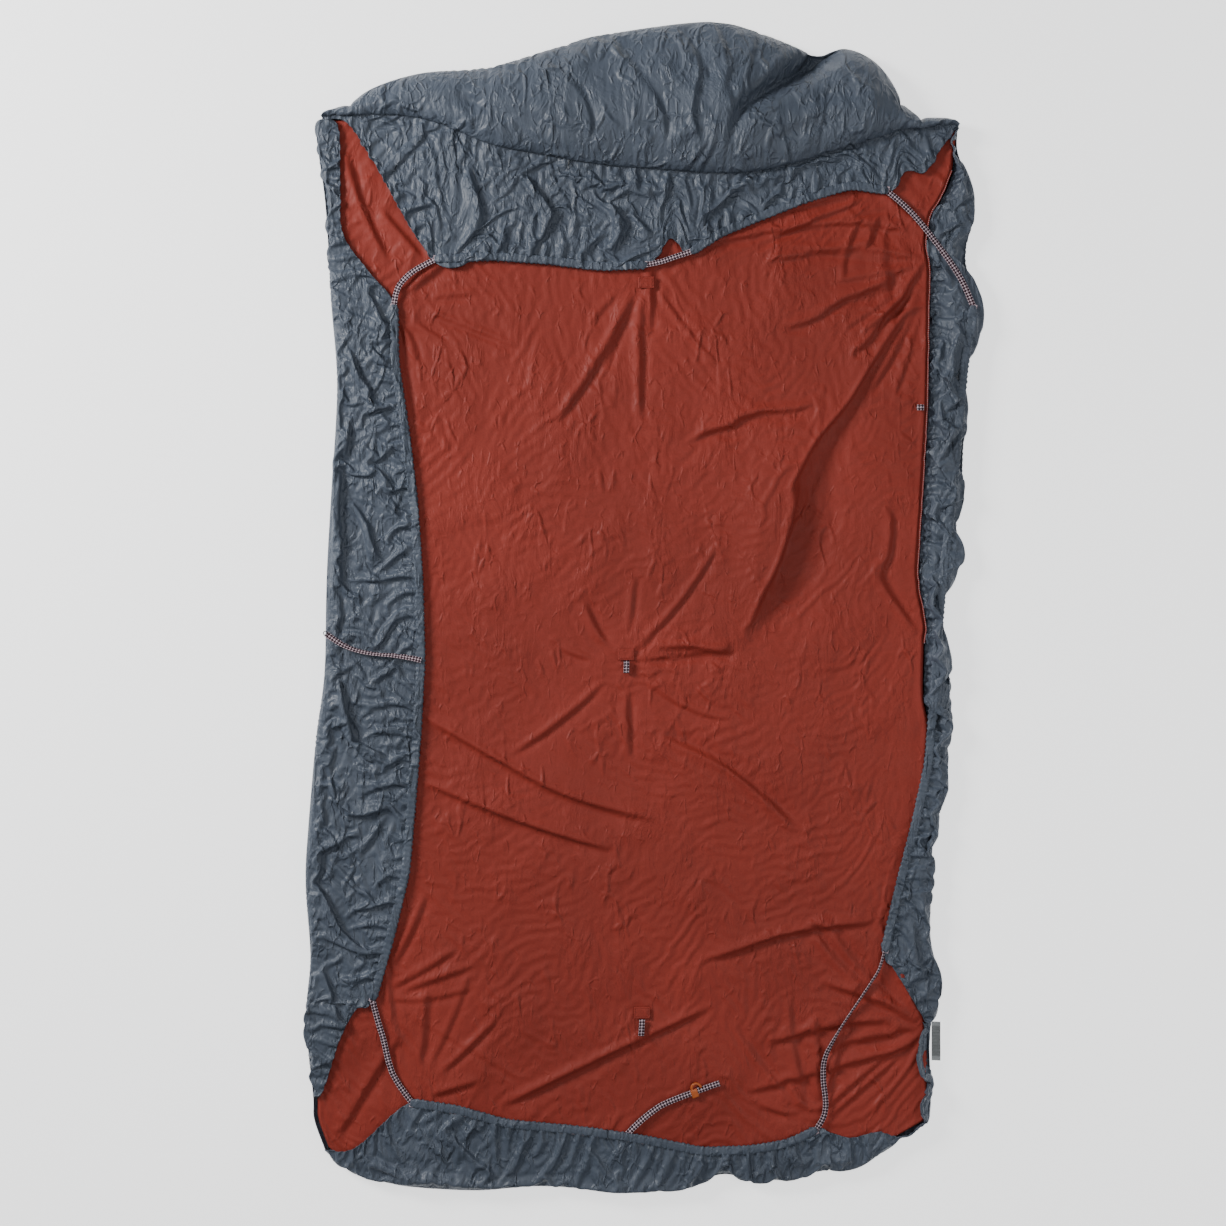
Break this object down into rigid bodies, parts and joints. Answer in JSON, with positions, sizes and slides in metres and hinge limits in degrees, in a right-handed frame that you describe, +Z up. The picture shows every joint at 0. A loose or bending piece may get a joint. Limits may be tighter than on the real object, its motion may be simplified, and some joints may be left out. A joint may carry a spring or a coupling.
{
  "type": "camp quilt",
  "caption": "Insulated camp quilt lying open: smooth lining up, crinkled shell turned in as gathered flaps with elastic hems, puffed head end, tie loops and a foot pull with a hook.",
  "frame": {"origin": "middle of the quilt's underside, on the surface it lies on", "axes": "+Z up out of the lining, +Y along the quilt towards the head end, +X to the right seen from above with the head end away"},
  "size_m": [1.1822, 2.0363, 0.0751],
  "materials": {
    "shell_fabric": "crinkled satin nylon",
    "lining_fabric": "matte taffeta",
    "fill": "lofted polyester",
    "elastic_tape": "checked woven elastic",
    "piping": "thin woven piping",
    "label_fabric": "translucent woven tape",
    "hook_plastic": "satin moulded"
  },
  "bodies": {
    "quilt": {"outer_shell": "shell_fabric", "insulation_batt": "fill", "lining_panel": "lining_fabric", "head_baffle_shell": "shell_fabric", "head_baffle_fill": "fill", "head_flap": "shell_fabric", "left_flap": "shell_fabric", "right_flap": "shell_fabric", "foot_flap": "shell_fabric", "head_hem_left": "shell_fabric", "head_hem_right": "shell_fabric", "left_hem": "shell_fabric", "right_hem": "shell_fabric", "foot_hem": "shell_fabric", "right_edge_piping": "piping", "head_patch": "lining_fabric", "centre_patch": "lining_fabric", "foot_patch": "lining_fabric", "left_side_elastic": "elastic_tape", "head_hem_elastic_left": "elastic_tape", "head_hem_elastic_right": "elastic_tape", "left_hem_elastic": "elastic_tape", "right_hem_elastic": "elastic_tape", "foot_hem_elastic": "elastic_tape", "head_left_elastic": "elastic_tape", "head_right_elastic": "elastic_tape", "head_centre_elastic": "elastic_tape", "foot_left_elastic": "elastic_tape", "foot_right_elastic": "elastic_tape", "foot_pull_elastic": "elastic_tape"},
    "hook": {"pull_hook": "hook_plastic"},
    "centre_loop": {"centre_tie_loop": "elastic_tape"},
    "foot_loop": {"foot_tie_loop": "elastic_tape"},
    "edge_loop": {"edge_tie_loop": "elastic_tape"},
    "label": {"care_label": "label_fabric"}
  },
  "joints": [
    {"name": "hook_slide", "type": "slide", "parent": "quilt", "child": "hook", "axis": [0.9455, 0.3257, 0], "range_m": [-0.022, 0.018]},
    {"name": "centre_loop_flip", "type": "hinge", "parent": "quilt", "child": "centre_loop", "pos_m": [-0.028, -0.0932, 0.0232], "axis": [-1, 0, 0], "range_deg": [0, 150]},
    {"name": "foot_loop_flip", "type": "hinge", "parent": "quilt", "child": "foot_loop", "pos_m": [-0.001, -0.7162, 0.0232], "axis": [-1, 0, 0], "range_deg": [0, 150]},
    {"name": "edge_loop_flip", "type": "hinge", "parent": "quilt", "child": "edge_loop", "pos_m": [0.486, 0.349, 0.0232], "axis": [0, 1, 0], "range_deg": [0, 120]},
    {"name": "label_flip", "type": "hinge", "parent": "quilt", "child": "label", "pos_m": [0.5055, -0.756, 0.0029], "axis": [0, -1, 0], "range_deg": [0, 85]}
  ]
}
